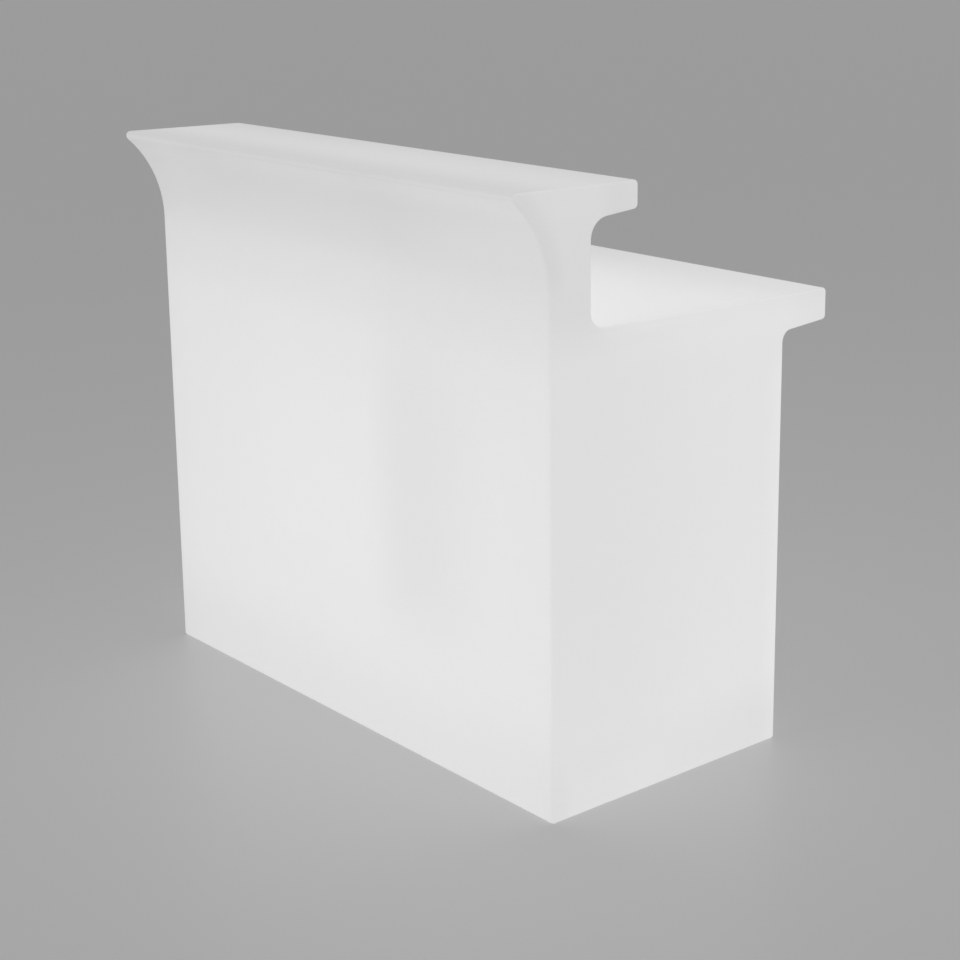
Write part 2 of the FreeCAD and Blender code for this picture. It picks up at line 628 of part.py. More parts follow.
def lamp_holder():
    """Holder with a deep round bore, a flange on the bracket and a hollow nipple through it."""
    base_radius = HOLDER_RADIUS + HOLDER_BASE_STEP
    bore_floor = HOLDER_HEIGHT - BULB_CAP_HEIGHT
    holder = turned([
        (NIPPLE_BORE_RADIUS, -NIPPLE_LENGTH, 0.0),
        (NIPPLE_RADIUS, -NIPPLE_LENGTH, 0.0),
        (NIPPLE_RADIUS, 0.0, 0.0),
        (base_radius, 0.0, HOLDER_EDGE_RADIUS),
        (base_radius, HOLDER_BASE_HEIGHT, HOLDER_EDGE_RADIUS),
        (HOLDER_RADIUS, HOLDER_BASE_HEIGHT, 0.0),
        (HOLDER_RADIUS, HOLDER_HEIGHT, HOLDER_EDGE_RADIUS),
        (HOLDER_BORE_RADIUS, HOLDER_HEIGHT, 0.0),
        (HOLDER_BORE_RADIUS, bore_floor, 0.0),
        (NIPPLE_BORE_RADIUS, bore_floor, 0.0),
    ])
    holder.translate(at(0, -LAMP_AXIS_DEPTH, -BRACKET_DROP))
    return holder


def holder_nut():
    top = -BRACKET_DROP - BRACKET_THICKNESS
    start = at(0, -LAMP_AXIS_DEPTH, top - HOLDER_NUT_HEIGHT)
    nut = hexagon(HOLDER_NUT_FLATS, start, HOLDER_NUT_HEIGHT, at(0, 0, 1))
    return nut.cut(rod(NIPPLE_RADIUS + THREAD_CLEARANCE, start, HOLDER_NUT_HEIGHT, at(0, 0, 1)))


def bulb_base():
    """Screw cap with its contact, then the flared housing that carries the globe."""
    neck = BULB_TIP_Z + BULB_CAP_HEIGHT + BULB_NECK_CLEARANCE
    neck_radius = BULB_CAP_RADIUS + BULB_NECK_STEP
    rim = GLOBE_CENTRE_Z - GLOBE_RIM_DROP
    base = turned([
        (0.0, BULB_TIP_Z, 0.0),
        (BULB_TIP_RADIUS, BULB_TIP_Z, 0.0),
        (BULB_CAP_RADIUS, BULB_TIP_Z + BULB_CAP_TAPER, 0.0),
        (BULB_CAP_RADIUS, neck, 0.0),
        (neck_radius, neck, 0.0),
        (neck_radius, neck + BULB_NECK_HEIGHT, BULB_SHOULDER_ROUND),
        (GLOBE_RIM_RADIUS, rim, 0.0),
        (0.0, rim, 0.0),
    ])
    base.translate(at(0, -LAMP_AXIS_DEPTH))
    return base


def bulb_globe():
    """Thin opal shell that sits on the housing's rim."""
    centre = GLOBE_CENTRE_Z
    rim = centre - GLOBE_RIM_DROP
    inner = GLOBE_RADIUS - GLOBE_WALL
    inner_rim = math.sqrt(inner ** 2 - GLOBE_RIM_DROP ** 2)
    top = centre + GLOBE_RADIUS
    outline = [
        Part.Arc(at(GLOBE_RIM_RADIUS, 0, rim), at(GLOBE_RADIUS, 0, centre), at(0, 0, top)),
        Part.LineSegment(at(0, 0, top), at(0, 0, centre + inner)),
        Part.Arc(at(0, 0, centre + inner), at(inner, 0, centre), at(inner_rim, 0, rim)),
        Part.LineSegment(at(inner_rim, 0, rim), at(GLOBE_RIM_RADIUS, 0, rim)),
    ]
    globe = Part.Face(Part.Wire([piece.toShape() for piece in outline])).revolve(at(), at(0, 0, 1), 360)
    globe.translate(at(0, -LAMP_AXIS_DEPTH))
    return globe


def foot_pad():
    """Round pad with a socket for its stud, just clear of the floor while the foot is screwed in."""
    base = FOOT_SETBACK
    socket = STUD_RADIUS + THREAD_CLEARANCE
    return turned([
        (0.0, base, 0.0),
        (FOOT_PAD_RADIUS, base, FOOT_PAD_EDGE_RADIUS),
        (FOOT_PAD_RADIUS, base + FOOT_PAD_HEIGHT, FOOT_PAD_EDGE_RADIUS),
        (socket, base + FOOT_PAD_HEIGHT, 0.0),
        (socket, base + FOOT_PAD_HEIGHT - FOOT_SOCKET_DEPTH, 0.0),
        (0.0, base + FOOT_PAD_HEIGHT - FOOT_SOCKET_DEPTH, 0.0),
    ])


def foot_stud():
    stud = rod(STUD_RADIUS, at(0, 0, STUD_START_Z), STUD_LENGTH, at(0, 0, 1))
    top = edges_where(stud, lambda box: box.ZMin > STUD_TOP_Z - SHORTEST_LINE)
    return stud.makeChamfer(STUD_CHAMFER, top)


def foot_inserts():
    inserts = []
    for place in foot_places().values():
        start = place + at(0, 0, FOOT_POCKET_DEPTH)
        insert = rod(FOOT_INSERT_RADIUS, start, FOOT_INSERT_LENGTH, at(0, 0, 1))
        bore = rod(STUD_RADIUS + THREAD_CLEARANCE, start, FOOT_INSERT_LENGTH, at(0, 0, 1))
        inserts.append(insert.cut(bore))
    return Part.makeCompound(inserts)


def gland_body():
    """Threaded stem through the wall, hexagon flange against it, and a neck for the cap."""
    stem_start = -WALL - GLAND_THREAD_LENGTH
    stem = rod(GLAND_STEM_RADIUS, at(0, stem_start), -stem_start, at(0, 1))
    flange = hexagon(GLAND_FLATS, at(), GLAND_FLANGE_THICKNESS, at(0, 1))
    neck = rod(GLAND_NECK_RADIUS, at(0, GLAND_FLANGE_THICKNESS), GLAND_NECK_LENGTH, at(0, 1))
    length = GLAND_FLANGE_THICKNESS + GLAND_NECK_LENGTH - stem_start
    return stem.fuse([flange, neck]).cut(rod(GLAND_BORE_RADIUS, at(0, stem_start), length, at(0, 1)))


def gland_locknut():
    start = at(0, -WALL - GLAND_LOCKNUT_THICKNESS)
    nut = hexagon(GLAND_FLATS, start, GLAND_LOCKNUT_THICKNESS, at(0, 1))
    return nut.cut(rod(GLAND_STEM_RADIUS + THREAD_CLEARANCE, start, GLAND_LOCKNUT_THICKNESS, at(0, 1)))


def gland_seal():
    """Rubber sleeve in the gland's mouth that the lead passes through."""
    mouth = GLAND_FLANGE_THICKNESS + GLAND_NECK_LENGTH
    start = at(0, mouth - GLAND_SEAL_LENGTH)
    sleeve = rod(GLAND_BORE_RADIUS, start, GLAND_SEAL_LENGTH, at(0, 1))
    return sleeve.cut(rod(LEAD_BORE_RADIUS, start, GLAND_SEAL_LENGTH, at(0, 1)))


def gland_cap():
    """Domed nut over the neck, hexagonal at its root, that presses the seal on the lead."""
    start = GLAND_FLANGE_THICKNESS
    end = start + GLAND_CAP_LENGTH
    outer = GLAND_SOCKET_RADIUS + GLAND_CAP_WALL
    outside = facing_back(turned([
        (0.0, start, 0.0),
        (outer, start, 0.0),
        (outer, end, GLAND_CAP_TAPER_RADIUS),
        (0.0, end, 0.0),
    ]))
    grip = hexagon(GLAND_FLATS, at(0, start), GLAND_NECK_LENGTH, at(0, 1))
    socket = rod(GLAND_SOCKET_RADIUS, at(0, start), GLAND_NECK_LENGTH, at(0, 1))
    mouth = rod(GLAND_CAP_MOUTH_RADIUS, at(0, start), GLAND_CAP_LENGTH, at(0, 1))
    return outside.fuse(grip).cut([socket, mouth])


def export(name, shape):
    for solid in shape.Solids:
        if not solid.isValid():
            raise ValueError(name + " holds a solid that isn't valid")
    shape.exportStep(os.path.join("parts", name + ".step"))


def moved(shape, place):
    copy = shape.copy()
    copy.translate(place)
    return copy


os.makedirs("parts", exist_ok=True)
export("bar_body", bar_body())
export("storage_shelf", storage_shelf())
export("cover_inserts", cover_inserts())
export("foot_inserts", foot_inserts())

LIGHT_PIECES = {
    "light_cover": light_cover(),
    "cover_gasket": cover_gasket(),
    "cover_screws": cover_screws(),
    "lamp_bracket": lamp_bracket(),
    "bracket_screws": bracket_screws(),
    "lamp_holder": lamp_holder(),
    "holder_nut": holder_nut(),
    "bulb_base": bulb_base(),
    "bulb_globe": bulb_globe(),
}
for side, place in light_places().items():
    for name, piece in LIGHT_PIECES.items():
        export(name + "_" + side, moved(piece, place))

for corner, place in foot_places().items():
    export("foot_pad_" + corner, moved(foot_pad(), place))
    export("foot_stud_" + corner, moved(foot_stud(), place))

GLAND_PIECES = {
    "gland_body": gland_body(),
    "gland_locknut": gland_locknut(),
    "gland_seal": gland_seal(),
    "gland_cap": gland_cap(),
}
for name, piece in GLAND_PIECES.items():
    export(name, moved(piece, GLAND_PLACE))
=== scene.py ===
import math

import bmesh
import bpy
from mathutils import Euler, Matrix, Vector


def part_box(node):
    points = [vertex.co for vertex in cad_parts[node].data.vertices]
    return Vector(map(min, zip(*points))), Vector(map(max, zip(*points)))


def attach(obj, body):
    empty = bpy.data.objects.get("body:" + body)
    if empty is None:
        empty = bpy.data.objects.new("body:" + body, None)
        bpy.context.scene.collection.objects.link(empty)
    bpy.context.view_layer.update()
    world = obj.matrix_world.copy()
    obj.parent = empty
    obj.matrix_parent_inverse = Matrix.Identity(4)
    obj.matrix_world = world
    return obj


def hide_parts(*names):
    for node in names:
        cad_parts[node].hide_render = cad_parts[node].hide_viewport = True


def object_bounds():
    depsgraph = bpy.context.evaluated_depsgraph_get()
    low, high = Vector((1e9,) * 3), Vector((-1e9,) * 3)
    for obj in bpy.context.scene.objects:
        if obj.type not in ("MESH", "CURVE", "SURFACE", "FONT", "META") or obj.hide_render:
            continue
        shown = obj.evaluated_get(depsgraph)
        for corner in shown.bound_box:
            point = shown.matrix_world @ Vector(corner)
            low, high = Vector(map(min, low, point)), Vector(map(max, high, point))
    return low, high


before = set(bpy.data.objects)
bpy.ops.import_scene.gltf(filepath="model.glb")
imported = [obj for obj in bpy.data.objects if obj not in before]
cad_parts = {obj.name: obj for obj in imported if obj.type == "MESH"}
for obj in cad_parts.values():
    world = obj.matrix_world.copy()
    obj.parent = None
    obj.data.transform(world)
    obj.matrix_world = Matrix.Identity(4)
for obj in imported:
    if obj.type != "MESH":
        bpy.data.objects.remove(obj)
cad_low, cad_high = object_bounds()

# Body: one hollow shell of translucent white polyethylene, turned in an oven mould. The glow of
# the three lamps inside is painted on as emission, weaker far from a lamp and a little uneven,
# with painted shade on the flare, nose, lips, feet and edges. The skin has the mould's fine grain.
# Depths run from the front face towards the staff side.
BODY_FRONT = -0.2959
BODY_END = cad_high.x
BODY_TOP = cad_high.z
COUNTER_TOP = 0.860
FLARE_RADIUS = 0.220
FLARE_START = 0.9195
NICHE_BACK_DEPTH = 0.155
BASE_DEPTH = 0.555
NICHE_HALF = 0.5208
NICHE_FLOOR = 0.090
NICHE_CEILING = 0.750
LAMP_SPREAD = 0.12
# Levels of the painted glow on each face, as shares of white
FRONT_GLOW = 0.482
BAR_TOP_GLOW = 0.319
COUNTER_GLOW = 0.404
END_GLOW = 0.456
STAFF_GLOW = 0.44
UPSTAND_GLOW = 0.30
CHAMBER_GLOW = 0.16
NICHE_GLOW = 0.20
GLOW_MOTTLE = 0.04
GRAIN_DRIFT = 0.03


class Shade:
    """A value in one material's nodes. Arithmetic on it adds the Math nodes that work it out."""

    def __init__(self, tree, socket=None):
        self.tree = tree
        self.socket = socket

    def feed(self, socket, value):
        if isinstance(value, Shade):
            self.tree.links.new(value.socket, socket)
        else:
            socket.default_value = value

    def node(self, kind, settings=None, sockets=None, out=0):
        """Adds a node, makes its settings, fills or links its sockets, and wraps one output."""
        made = self.tree.nodes.new(kind)
        for name, value in (settings or {}).items():
            setattr(made, name, value)
        for name, value in (sockets or {}).items():
            self.feed(made.inputs[name], value)
        return Shade(self.tree, made.outputs[out])

    def maths(self, operation, *values):
        return self.node("ShaderNodeMath", {"operation": operation}, dict(enumerate(values)))

    def __add__(self, other):
        return self.maths("ADD", self, other)

    def __sub__(self, other):
        return self.maths("SUBTRACT", self, other)

    def __rsub__(self, other):
        return self.maths("SUBTRACT", other, self)

    def __mul__(self, other):
        return self.maths("MULTIPLY", self, other)

    def __truediv__(self, other):
        return self.maths("DIVIDE", self, other)

    def __rtruediv__(self, other):
        return self.maths("DIVIDE", other, self)

    def __pow__(self, other):
        return self.maths("POWER", self, other)

    def __abs__(self):
        return self.maths("ABSOLUTE", self)

    __radd__ = __add__
    __rmul__ = __mul__

    def larger(self, other):
        return self.maths("MAXIMUM", self, other)

    def between(self, low, high):
        """The number that lies this far from low to high."""
        return low + self * (high - low)

    def smooth(self, start, end):
        """0 at start and 1 at end, with an easy rise between, whichever of the two is higher."""
        return self.node(
            "ShaderNodeMapRange", {"interpolation_type": "SMOOTHSTEP"},
            {"Value": self, "From Min": start, "From Max": end})

    def ridges(self, pitch):
        """A triangle wave from 0 to 1 with this pitch."""
        return self.maths("PINGPONG", self, pitch / 2) * (2 / pitch)

    def mix(self, low, high):
        """The colour that lies this far from low to high."""
        return self.node(
            "ShaderNodeMix", {"data_type": "RGBA"}, {0: self, 6: low, 7: high}, out=2)


def begin(name):
    """A new material, its shader's sockets, and the sheet that its values are worked out on."""
    material = bpy.data.materials.new(name)
    material.use_nodes = True
    return material, material.node_tree.nodes["Principled BSDF"].inputs, Shade(material.node_tree)


def parts_of(sheet, vector):
    return [sheet.node("ShaderNodeSeparateXYZ", sockets={0: vector}, out=i) for i in range(3)]


def place_of(sheet):
    """A point of the object as a vector, and its x, y and z, in metres."""
    here = sheet.node("ShaderNodeTexCoord", out="Object")
    return here, parts_of(sheet, here)


def clouds(sheet, here, size, detail=2.0, roughness=0.5):
    """Soft noise from 0 to 1 with lumps of about this size, and with smaller ones on them."""
    return sheet.node("ShaderNodeTexNoise", sockets={
        "Vector": here, "Scale": 1 / size, "Detail": detail, "Roughness": roughness})


def relief(sheet, height, depth):
    """The surface normal over a height from 0 to 1 that stands this many metres deep."""
    return sheet.node("ShaderNodeBump", sockets={"Height": height, "Distance": depth})


def middle_of(name):
    low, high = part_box(name)
    return (low + high) / 2


def dress(material, *nodes):
    for name in nodes:
        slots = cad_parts[name].data.materials
        slots.clear()
        slots.append(material)


def glow_of_front(x, z, near_lamps):
    """Painted glow of the front face and flare, with painted shade and light in bands, and one
    faint painted upright shade right of the middle.
    """
    high = z.smooth(0.76, 0.90)
    flare = z.smooth(0.88, 1.00)
    flare_right = z.smooth(0.90, 1.00) * x.smooth(0.15, 0.50)
    flare_left = z.smooth(0.98, 1.04) * x.smooth(-0.30, -0.50)
    flare_end = z.smooth(0.99, 1.03) * z.smooth(1.09, 1.06) * x.smooth(0.48, 0.56)
    nose = z.smooth(0.98, 1.06)
    under_nose = z.smooth(1.062, 1.082)
    nose_edge = z.smooth(1.083, 1.091)
    foot = z.smooth(0.24, 0.0)
    corner = abs(x).smooth(0.605, 0.618) * z.smooth(1.04, 0.99)
    middle = x.smooth(-0.45, -0.15) * x.smooth(0.21, 0.07) * z.smooth(0.27, 0.36)
    far_side = x.smooth(-0.52, -0.60)
    # A faint painted upright shade right of the middle
    shade = (x.smooth(0.07, 0.21) * x.smooth(0.49, 0.25)
             * z.smooth(0.14, 0.36) * z.smooth(0.92, 0.56))
    return (FRONT_GLOW + 0.0024 * near_lamps * z.smooth(1.0, 0.6) + 0.012 * x + 0.029 * flare_right
            + 0.018 * flare_left + 0.012 * flare_end + 0.047 * nose_edge + 0.009 * middle
            - 0.034 * high - 0.063 * flare - 0.042 * nose - 0.014 * under_nose - 0.049 * foot
            - 0.022 * corner - 0.009 * far_side - 0.038 * shade)


def glow_of_bar_top(x, depth):
    """Painted glow of the bar top, with painted shade over the nose and towards its lip."""
    nose = depth.smooth(0.045, -0.060)
    lip = depth.smooth(0.07, 0.19)
    edge = abs(x).smooth(0.608, 0.617)
    return (BAR_TOP_GLOW + 0.014 * x - 0.043 * nose - 0.034 * lip
            - (0.004 + 0.018 * nose) * edge)


def glow_of_counter(x, depth):
    """Painted glow of the working counter, brightest beside the upstand, with painted shade on a
    lip that is darker to the left.
    """
    lip = depth.smooth(0.38, 0.66)
    near_end = x.smooth(0.40, 0.55) * depth.smooth(0.36, 0.42) * depth.smooth(0.58, 0.54)
    edge = abs(x).smooth(0.606, 0.616)
    return (COUNTER_GLOW - 0.063 * lip + 0.095 * lip * (x - 0.35)
            + 0.010 * near_end - 0.011 * edge)


def glow_of_end(depth, z):
    """Painted glow of the end face, brighter towards the staff side, with painted shade along the
    flare's edge.
    """
    inside_flare = ((depth + FLARE_RADIUS) ** 2 + (z - FLARE_START) ** 2) ** 0.5 - FLARE_RADIUS
    flare_edge = inside_flare.smooth(0.042, 0.012) * z.smooth(0.90, 0.98)
    inward = depth.smooth(0.08, 0.50)
    back_edge = depth.smooth(0.50, BASE_DEPTH) * z.smooth(0.78, 0.70)
    high = z.smooth(0.80, 0.90)
    below_counter = depth.smooth(0.09, 0.20) * z.smooth(0.76, 0.84)
    counter_edge = depth.smooth(0.08, 0.14) * depth.smooth(0.60, 0.20) * z.smooth(0.83, 0.85)
    under_top = depth.smooth(-0.01, 0.03) * depth.smooth(0.13, 0.08) * z.smooth(1.04, 1.06)
    bar_lip = depth.smooth(0.09, 0.15) * z.smooth(1.00, 1.05)
    counter_lip = depth.smooth(0.54, 0.66) * z.smooth(0.78, 0.80)
    foot = z.smooth(0.16, 0.0)
    foot_front = z.smooth(0.11, 0.04) * depth.smooth(0.02, 0.05) * depth.smooth(0.32, 0.20)
    foot_back = z.smooth(0.20, 0.05) * depth.smooth(0.25, 0.50)
    return (END_GLOW + 0.030 * inward + 0.027 * back_edge + 0.017 * below_counter
            + 0.022 * counter_edge + 0.009 * under_top + 0.018 * foot_front - 0.043 * high
            - 0.031 * flare_edge - 0.050 * bar_lip - 0.026 * counter_lip - 0.032 * foot
            - 0.019 * foot_back)


def lit_polyethylene():
    material, shader, sheet = begin("lit polyethylene")
    here, (x, y, z) = place_of(sheet)
    across = abs(x)
    depth = y - BODY_FRONT
    facing_x, _, facing_z = parts_of(sheet, sheet.node("ShaderNodeTexCoord", out="Normal"))
    facing_up = facing_z.larger(0.0)

    # Painted fall of the lamps' light, weaker away from each lamp
    near_lamps = 0.0
    for side in ("left", "centre", "right"):
        lamp = middle_of("bulb_globe_" + side)
        away = (x - lamp.x) ** 2 + (y - lamp.y) ** 2 + (z - lamp.z) ** 2
        near_lamps = near_lamps + 1 / (away + LAMP_SPREAD)

    # Painted glow of the staff side, plinth and underside, with painted shade near the floor, and
    # the darker painted glow of the upstand that the counter lights from below
    glow = STAFF_GLOW + 0.003 * near_lamps - 0.03 * z.smooth(0.20, 0.0)
    on_upstand = depth.smooth(0.200, 0.185) * z.smooth(COUNTER_TOP - 0.02, COUNTER_TOP + 0.02)
    glow = on_upstand.between(glow, UPSTAND_GLOW)

    # Walls of the lamps' chamber and of the niche, which light one another far more than they glow
    in_chamber = (across.smooth(BODY_END - 0.003, BODY_END - 0.005)
                  * z.smooth(COUNTER_TOP - 0.010, COUNTER_TOP - 0.015)
                  * depth.smooth(0.003, 0.005)
                  * depth.smooth(NICHE_BACK_DEPTH - 0.003, NICHE_BACK_DEPTH - 0.005))
    glow = in_chamber.between(glow, CHAMBER_GLOW)
    in_niche = (across.smooth(NICHE_HALF + 0.0016, NICHE_HALF + 0.0008)
                * depth.smooth(BASE_DEPTH - 0.001, BASE_DEPTH - 0.012)
                * depth.smooth(NICHE_BACK_DEPTH - 0.012, NICHE_BACK_DEPTH - 0.001)
                * z.smooth(NICHE_FLOOR - 0.0016, NICHE_FLOOR - 0.0008)
                * z.smooth(NICHE_CEILING + 0.0016, NICHE_CEILING + 0.0008))
    niche = NICHE_GLOW + 0.006 * near_lamps * depth.smooth(BASE_DEPTH, NICHE_BACK_DEPTH)
    glow = in_niche.between(glow, niche)

    # The faces that guests and staff see, each with its own painted fall of light and shade
    on_counter = (facing_up * z.smooth(COUNTER_TOP + 0.040, COUNTER_TOP + 0.030)
                  * z.smooth(COUNTER_TOP - 0.015, COUNTER_TOP - 0.010))
    glow = on_counter.between(glow, glow_of_counter(x, depth))
    on_front = depth.smooth(0.006, 0.003)
    glow = on_front.between(glow, glow_of_front(x, z, near_lamps))
    on_bar_top = facing_up * z.smooth(BODY_TOP - 0.015, BODY_TOP - 0.010)
    glow = on_bar_top.between(glow, glow_of_bar_top(x, depth))
    on_ends = facing_x ** 2 * across.smooth(BODY_END - 0.008, BODY_END - 0.004)
    glow = on_ends.between(glow, glow_of_end(depth, z))

    # Painted mottle in the glow, with the skin's fine grain also shown in it
    glow_mottle = clouds(sheet, here, 0.045, 5.0, 0.7) - 0.5
    grain = clouds(sheet, here, 0.0016, 3.0)
    glow = glow * (1 + GLOW_MOTTLE * glow_mottle + GRAIN_DRIFT * (grain - 0.5))
    tint = clouds(sheet, here, 0.30)
    sheet.feed(shader["Base Color"], tint.mix((0.69, 0.69, 0.685, 1), (0.71, 0.71, 0.705, 1)))
    sheet.feed(shader["Roughness"], 0.38 + 0.10 * grain)
    sheet.feed(shader["Emission Color"], glow.mix((0, 0, 0, 1), (1, 1, 1, 1)))
    sheet.feed(shader["Normal"], relief(sheet, grain, 0.0003))
    shader["Emission Strength"].default_value = 1.0
    return material


dress(lit_polyethylene(), "bar_body")


# Threaded inserts: turned brass bushes with a knurled outside, moulded into the body behind the
# cover screws and over the feet. Only their bored ends show, and only when those are out.
def turned_brass():
    material, shader, sheet = begin("turned brass")
    here, (x, y, z) = place_of(sheet)
    tarnish = clouds(sheet, here, 0.004)
    _, facing_y, facing_z = parts_of(sheet, sheet.node("ShaderNodeTexCoord", out="Normal"))
    bored_end = z.smooth(0.15, 0.10).between(facing_y ** 2, facing_z ** 2)
    knurl = (x + y + z).ridges(0.0012) * (x - y - z).ridges(0.0012) * (1 - bored_end)
    sheet.feed(shader["Base Color"], tarnish.mix((0.50, 0.34, 0.13, 1), (0.80, 0.60, 0.28, 1)))
    sheet.feed(shader["Roughness"], 0.24 + tarnish * 0.25)
    sheet.feed(shader["Normal"], relief(sheet, knurl, 0.0003))
    shader["Metallic"].default_value = 1.0
    return material


dress(turned_brass(), "cover_inserts", "foot_inserts")


# Levelling feet: a round black rubber-faced pad pressed onto a stainless screw, one in a pocket
# under each corner. The screw has a rolled thread of 1.5 mm pitch up to its chamfered end, and
# the pad shows dust and scuffs.
STUD_RADIUS = 0.005
STUD_LENGTH = 0.042
STUD_CHAMFER = 0.001
STUD_PITCH = 0.0015
STUD_THREAD_DEPTH = 0.0006
STUD_RINGS = 136
STUD_SIDES = 30
SHARP_ANGLE = 40
SAME_RADIUS = 0.00002
UPRIGHT = (Vector((1, 0, 0)), Vector((0, 1, 0)))


def rounded(corners, steps=6):
    """An outline through (radius, height, round, rings) corners, as points that each keep the
    number of rings on the way to the next one."""
    points = []
    for i, (radius, height, rounding, rings) in enumerate(corners):
        here = Vector((radius, height))
        if rounding:
            before = (Vector(corners[i - 1][:2]) - here).normalized()
            after = (Vector(corners[(i + 1) % len(corners)][:2]) - here).normalized()
            half = before.angle(after) / 2
            centre = here + (before + after).normalized() * (rounding / math.sin(half))
            first = (here + before * (rounding / math.tan(half)) - centre).normalized()
            last = (here + after * (rounding / math.tan(half)) - centre).normalized()
            for step in range(steps):
                points.append((centre + first.slerp(last, step / steps) * rounding, 1))
            here = centre + last * rounding
        points.append((here, rings))
    return points


def turned(name, corners, sides, places, sunk, across=UPRIGHT):
    """Equal pieces, each turned about an axis through its place and square to both directions of
    across. The outline starts and ends on the axis or closes on itself, and sunk says how deep it
    is cut at a turn, a radius and a height."""
    points = rounded(corners)
    outline = []
    for (start, rings), (end, _) in zip(points, points[1:] + points[:1]):
        outline += [start.lerp(end, ring / rings) for ring in range(rings)]
    turns = [side / sides for side in range(sides)]
    along = across[0].cross(across[1])
    shape = bmesh.new()
    for place in places:
        rows = []
        for radius, height in outline:
            row = []
            for turn in turns if radius else [0.0]:
                reach = radius - sunk(turn, radius, height)
                angle = 2 * math.pi * turn
                out = across[0] * (reach * math.cos(angle)) + across[1] * (reach * math.sin(angle))
                row.append(shape.verts.new(place + out + along * height))
            rows.append(row)
        above = rows[1:] + rows[:1] if len(rows[0]) > 1 else rows[1:]
        for low, high in zip(rows, above):
            for near in range(sides):
                far = near + 1
                ring = [low[near % len(low)], low[far % len(low)],
                        high[far % len(high)], high[near % len(high)]]
                shape.faces.new(list(dict.fromkeys(ring)))
    for edge in shape.edges:
        edge.smooth = edge.calc_face_angle(0.0) < math.radians(SHARP_ANGLE)
    for face in shape.faces:
        face.smooth = True
    mesh = bpy.data.meshes.new(name)
    shape.to_mesh(mesh)
    shape.free()
    piece = bpy.data.objects.new(name, mesh)
    bpy.context.scene.collection.objects.link(piece)
    return piece


def ridge(value, pitch):
    """The same triangle wave as ridges, on a number."""
    return 1 - abs(2 * (value / pitch % 1) - 1)


def eased(value, start, end):
    """The same easy rise as smooth, on a number."""
    part = min(max((value - start) / (end - start), 0), 1)
    return part * part * (3 - 2 * part)


def same(radius, other):
    """Whether two radii are equal, but for the rounding that a vector's numbers have."""
    return abs(radius - other) < SAME_RADIUS


def stand_for(piece, node, body, material):
    piece.data.materials.append(material)
    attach(piece, body)
    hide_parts(node)


def turns_about(sheet, across, along):
    """How far round its axis a point lies, in turns."""
    return sheet.maths("ARCTAN2", along, across) / (2 * math.pi)


def rubber(name, scuffs):
    material, shader, sheet = begin(name)
    here, _ = place_of(sheet)
    grain = clouds(sheet, here, 0.0009, 3.0)
    dust = clouds(sheet, here, 0.012).smooth(0.45, 0.75) * scuffs
    sheet.feed(shader["Base Color"], dust.mix((0.016, 0.016, 0.017, 1), (0.085, 0.083, 0.080, 1)))
    sheet.feed(shader["Roughness"], 0.55 + grain * 0.12 + dust * 0.2)
    sheet.feed(shader["Normal"], relief(sheet, grain, 0.00008))
    return material


def rolled_steel(name, foot):
    """Stainless steel, dull in the thread's root, with painted shade darkening the root."""
    material, shader, sheet = begin(name)
    here, (x, y, z) = place_of(sheet)
    climb = turns_about(sheet, x - foot.x, y - foot.y) * STUD_PITCH
    # Painted shade in the root of the thread
    root = (z - foot.z - climb).ridges(STUD_PITCH).smooth(0.35, 0.0)
    sheet.feed(shader["Base Color"], root.mix((0.62, 0.62, 0.63, 1), (0.30, 0.30, 0.31, 1)))
    sheet.feed(shader["Roughness"], 0.22 + root * 0.2 + clouds(sheet, here, 0.003) * 0.1)
    sheet.feed(shader["Normal"], relief(sheet, clouds(sheet, here, 0.0006), 0.00002))
    shader["Metallic"].default_value = 1.0
    return material


def stud_thread(turn, radius, height):
    if not same(radius, STUD_RADIUS):
        return 0.0
    return STUD_THREAD_DEPTH * (1 - ridge(height - turn * STUD_PITCH, STUD_PITCH))


pad_rubber = rubber("foot rubber", 1.0)
for corner in ("front_left", "front_right", "back_left", "back_right"):
    dress(pad_rubber, "foot_pad_" + corner)
    low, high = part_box("foot_stud_" + corner)
    foot = Vector(((low.x + high.x) / 2, (low.y + high.y) / 2, low.z))
    stud = turned("threaded_stud_" + corner, [
        (0.0, 0.0, 0, 1),
        (STUD_RADIUS, 0.0, 0, STUD_RINGS),
        (STUD_RADIUS, STUD_LENGTH - STUD_CHAMFER, 0, 1),
        (STUD_RADIUS - STUD_CHAMFER, STUD_LENGTH, 0, 1),
        (0.0, STUD_LENGTH, 0, 1),
    ], STUD_SIDES, [foot], stud_thread)
    steel = rolled_steel("rolled steel " + corner, foot)
    stand_for(stud, "foot_stud_" + corner, "foot_" + corner, steel)


# Lead inlet: a light grey nylon gland low on the staff side, with a locknut inside the wall, a
# rubber sleeve in its mouth and a domed cap. The parts are injection moulded with a satin skin.
def moulded_nylon():
    material, shader, sheet = begin("gland nylon")
    here, _ = place_of(sheet)
    grain = clouds(sheet, here, 0.0007, 3.0)
    flow = clouds(sheet, here, 0.006)
    sheet.feed(shader["Base Color"], flow.mix((0.46, 0.47, 0.48, 1), (0.56, 0.57, 0.58, 1)))
    sheet.feed(shader["Roughness"], 0.36 + grain * 0.18)
    sheet.feed(shader["Normal"], relief(sheet, grain, 0.00007))
    return material


dress(moulded_nylon(), "gland_body", "gland_locknut", "gland_cap")
dress(rubber("lead seal rubber", 0.2), "gland_seal")


# Lamp bracket: a steel strip bent into an L and powder coated white, with the slight orange peel
# of the coat.
def powder_coat():
    material, shader, sheet = begin("white powder coat")
    here, _ = place_of(sheet)
    peel = clouds(sheet, here, 0.0022, 1.0)
    film = clouds(sheet, here, 0.03)
    sheet.feed(shader["Base Color"], film.mix((0.74, 0.74, 0.73, 1), (0.82, 0.82, 0.81, 1)))
    sheet.feed(shader["Roughness"], 0.32 + peel * 0.12)
    sheet.feed(shader["Normal"], relief(sheet, peel, 0.00012))
    return material


coat = powder_coat()
for side in ("left", "centre", "right"):
    dress(coat, "lamp_bracket_" + side)


